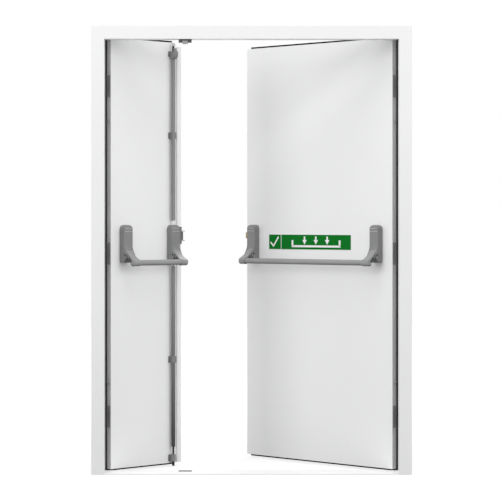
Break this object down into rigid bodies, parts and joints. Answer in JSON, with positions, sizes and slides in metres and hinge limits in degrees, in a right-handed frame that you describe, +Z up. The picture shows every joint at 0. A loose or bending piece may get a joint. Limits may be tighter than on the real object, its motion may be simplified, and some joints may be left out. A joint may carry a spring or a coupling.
{
  "type": "double fire exit door",
  "caption": "Steel leaf-and-a-half fire exit door set with push bars, vertical bolts, side latch and lipped outward-opening leaves in a rebated frame.",
  "frame": {"origin": "on the underside of the threshold, midway between the jambs, in the plane of the frame's room face", "axes": "+X to the right seen from the room, +Y outwards through the doorway, +Z up"},
  "size_m": [1.5, 0.8182, 2.1],
  "materials": {
    "frame_paint": "satin white powder coat",
    "sill_paint": "satin white powder coat",
    "leaf_paint": "satin white powder coat",
    "core_board": "mineral fibre board",
    "seal_rubber": "matte black",
    "hinge_steel": "dark grey",
    "housing_paint": "satin grey",
    "bar_metal": "satin light grey",
    "bolt_metal": "satin grey, dark at the tips",
    "keep_steel": "dark grey",
    "latch_brass": "satin"
  },
  "bodies": {
    "frame": {"floor_keep": "keep_steel", "head": "frame_paint", "left_frame_hinge_1": "hinge_steel", "left_frame_hinge_2": "hinge_steel", "left_frame_hinge_3": "hinge_steel", "left_jamb": "frame_paint", "right_frame_hinge_1": "hinge_steel", "right_frame_hinge_2": "hinge_steel", "right_frame_hinge_3": "hinge_steel", "right_jamb": "frame_paint", "threshold": "sill_paint", "top_keep": "keep_steel"},
    "left_leaf": {"bolt_housing": "housing_paint", "foot_guide": "housing_paint", "high_mid_guide": "housing_paint", "left_core": "core_board", "left_dog_bolt_1": "hinge_steel", "left_dog_bolt_2": "hinge_steel", "left_hinge_housing": "housing_paint", "left_inner_skin": "leaf_paint", "left_leaf_hinge_1": "hinge_steel", "left_leaf_hinge_2": "hinge_steel", "left_leaf_hinge_3": "hinge_steel", "left_lip_seal": "seal_rubber", "left_outer_skin": "leaf_paint", "low_mid_guide": "housing_paint", "meeting_strip": "leaf_paint", "strike": "keep_steel", "strike_roller": "keep_steel", "top_guide": "housing_paint"},
    "right_leaf": {"lock_housing": "housing_paint", "right_core": "core_board", "right_dog_bolt_1": "hinge_steel", "right_dog_bolt_2": "hinge_steel", "right_hinge_housing": "housing_paint", "right_inner_skin": "leaf_paint", "right_leaf_hinge_1": "hinge_steel", "right_leaf_hinge_2": "hinge_steel", "right_leaf_hinge_3": "hinge_steel", "right_lip_seal": "seal_rubber", "right_outer_skin": "leaf_paint"},
    "left_bar": {"left_free_lever": "housing_paint", "left_hinge_lever": "housing_paint", "left_push_bar": "bar_metal"},
    "right_bar": {"right_free_lever": "housing_paint", "right_hinge_lever": "housing_paint", "right_push_bar": "bar_metal"},
    "top_bolt": {"upper_bolt": "bolt_metal"},
    "foot_bolt": {"lower_bolt": "bolt_metal"},
    "side_latch": {"latch": "latch_brass"}
  },
  "joints": [
    {"name": "left_leaf_hinge", "type": "hinge", "parent": "frame", "child": "left_leaf", "pos_m": [-0.703, 0.133, 0], "axis": [0, 0, 1], "range_deg": [-45, 65]},
    {"name": "right_leaf_hinge", "type": "hinge", "parent": "frame", "child": "right_leaf", "pos_m": [0.703, 0.133, 0], "axis": [0, 0, -1], "range_deg": [-45, 65]},
    {"name": "left_bar_press", "type": "hinge", "parent": "left_leaf", "child": "left_bar", "pos_m": [-0.57926, 0.12946, 1.026], "axis": [0.7071, 0.7071, 0], "range_deg": [0, 20], "stiffness_Nm_per_rad": 4, "springref_deg": -40.11},
    {"name": "right_bar_press", "type": "hinge", "parent": "right_leaf", "child": "right_bar", "pos_m": [0.57466, 0.13406, 1.026], "axis": [0.7071, -0.7071, 0], "range_deg": [0, 20], "stiffness_Nm_per_rad": 4, "springref_deg": -40.11},
    {"name": "top_bolt_slide", "type": "slide", "parent": "left_leaf", "child": "top_bolt", "axis": [0, 0, -1], "range_m": [0, 0.018]},
    {"name": "foot_bolt_slide", "type": "slide", "parent": "left_leaf", "child": "foot_bolt", "axis": [0, 0, 1], "range_m": [0, 0.018]},
    {"name": "side_latch_slide", "type": "slide", "parent": "right_leaf", "child": "side_latch", "axis": [0.7071, -0.7071, 0], "range_m": [0, 0.015]}
  ],
  "couplings": [
    {"joint": "top_bolt_slide", "follows": "left_bar_press", "m_per_rad": 0.051566},
    {"joint": "foot_bolt_slide", "follows": "left_bar_press", "m_per_rad": 0.051566},
    {"joint": "side_latch_slide", "follows": "right_bar_press", "m_per_rad": 0.042971}
  ]
}
